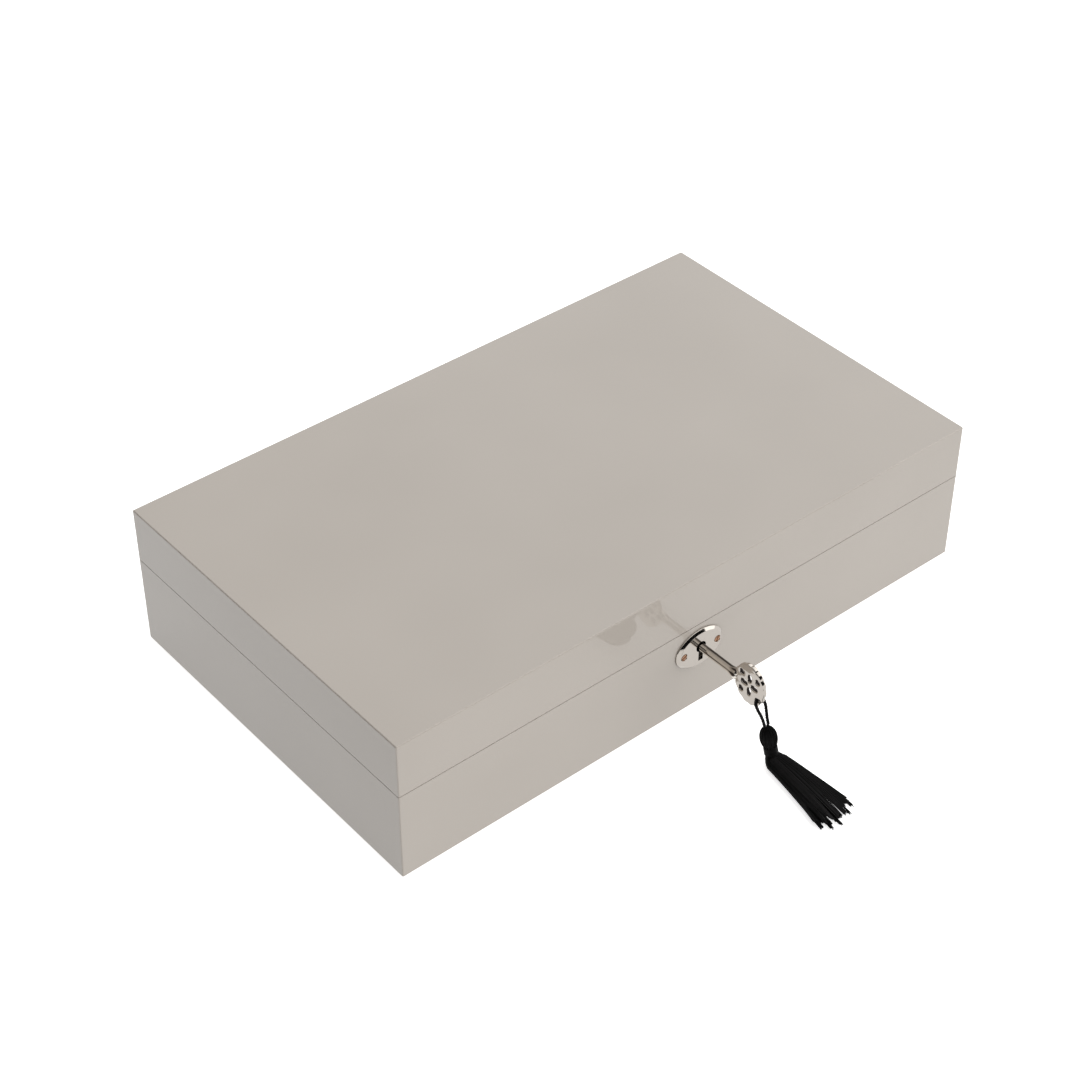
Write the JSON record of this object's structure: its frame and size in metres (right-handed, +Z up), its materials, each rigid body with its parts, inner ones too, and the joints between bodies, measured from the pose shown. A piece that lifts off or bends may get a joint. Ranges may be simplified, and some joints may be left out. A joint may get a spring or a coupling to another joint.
{
  "type": "jewellery chest",
  "caption": "Rectangular gloss-lacquered jewellery box with a hinged lid, a working lock, a pierced key with a tassel, and a lined inside with ring rolls and compartments.",
  "frame": {"origin": "centre of the felt underside, on the surface that the chest stands on", "axes": "+X to the right seen from the lock side, +Y towards the hinges, +Z up"},
  "size_m": [0.35, 0.3118, 0.0809],
  "materials": {
    "gloss_lacquer": "high-gloss warm taupe lacquer on board",
    "board": "plain fibreboard",
    "felt": "black felt",
    "velvet": "taupe velvet over card and foam",
    "mirror_glass": "silvered glass",
    "nickel_plated_steel": "nickel plate, satin",
    "polished_nickel": "polished nickel",
    "brass": "browned brass",
    "black_thread": "black rayon thread"
  },
  "bodies": {
    "chest_base": {"base_carcass": "gloss_lacquer", "bottom_panel": "board", "base_felt": "felt", "base_lining_front": "velvet", "base_lining_back": "velvet", "base_lining_left": "velvet", "base_lining_right": "velvet", "floor_lining": "velvet", "divider_main": "velvet", "divider_left": "velvet", "divider_long": "velvet", "divider_front": "velvet", "divider_back": "velvet", "ring_roll_1": "velvet", "ring_roll_2": "velvet", "ring_roll_3": "velvet", "ring_roll_4": "velvet", "ring_roll_5": "velvet", "lock_case": "nickel_plated_steel", "lock_back_plate": "nickel_plated_steel", "drill_pin": "nickel_plated_steel", "lock_screw_left": "nickel_plated_steel", "lock_screw_right": "nickel_plated_steel", "escutcheon": "polished_nickel", "escutcheon_screw_left": "brass", "escutcheon_screw_right": "brass", "hinge_left_base_leaf": "nickel_plated_steel", "hinge_right_base_leaf": "nickel_plated_steel", "hinge_left_pin": "nickel_plated_steel", "hinge_right_pin": "nickel_plated_steel", "hinge_screw_base_left_1": "nickel_plated_steel", "hinge_screw_base_left_2": "nickel_plated_steel", "hinge_screw_base_right_1": "nickel_plated_steel", "hinge_screw_base_right_2": "nickel_plated_steel"},
    "lid": {"lid_shell": "gloss_lacquer", "lid_lining_front": "velvet", "lid_lining_back": "velvet", "lid_lining_left": "velvet", "lid_lining_right": "velvet", "lid_mirror": "mirror_glass", "mirror_frame_front": "velvet", "mirror_frame_back": "velvet", "mirror_frame_left": "velvet", "mirror_frame_right": "velvet", "hinge_left_lid_leaf": "nickel_plated_steel", "hinge_right_lid_leaf": "nickel_plated_steel", "hinge_screw_lid_left_1": "nickel_plated_steel", "hinge_screw_lid_left_2": "nickel_plated_steel", "hinge_screw_lid_right_1": "nickel_plated_steel", "hinge_screw_lid_right_2": "nickel_plated_steel", "strike_plate": "nickel_plated_steel", "strike_screw_left": "nickel_plated_steel", "strike_screw_right": "nickel_plated_steel"},
    "lock_bolt": {"lock_bolt": "nickel_plated_steel"},
    "lock_cam": {"lock_cam": "nickel_plated_steel"},
    "key": {"key": "polished_nickel"},
    "tassel_cord": {"tassel_loop": "black_thread"},
    "tassel": {"tassel_head": "black_thread", "tassel_binding": "black_thread", "tassel_skirt": "black_thread"}
  },
  "joints": [
    {"name": "lid_hinge", "type": "hinge", "parent": "chest_base", "child": "lid", "pos_m": [0, 0.1056, 0.05065], "axis": [-1, 0, 0], "range_deg": [0, 100]},
    {"name": "key_turn", "type": "hinge", "parent": "chest_base", "child": "lock_cam", "pos_m": [0, -0.0928, 0.038], "axis": [0, 1, 0], "range_deg": [0, 90]},
    {"name": "bolt_throw", "type": "slide", "parent": "chest_base", "child": "lock_bolt", "axis": [1, 0, 0], "range_m": [0, 0.00566]},
    {"name": "key_withdraw", "type": "slide", "parent": "lock_cam", "child": "key", "axis": [0, -1, 0], "range_m": [0, 0.045]},
    {"name": "loop_hang", "type": "hinge", "parent": "key", "child": "tassel_cord", "pos_m": [0, -0.1442, 0.032], "axis": [0, 1, 0], "range_deg": [-90, 0], "deforming": ["tassel_loop"]},
    {"name": "tassel_swing", "type": "hinge", "parent": "tassel_cord", "child": "tassel", "pos_m": [0, -0.15024, 0.02134], "axis": [-1, 0, 0], "range_deg": [0, 60]}
  ],
  "couplings": [
    {"joint": "bolt_throw", "follows": "key_turn", "m_per_rad": 0.0036012},
    {"joint": "loop_hang", "follows": "key_turn", "ratio": -1}
  ]
}
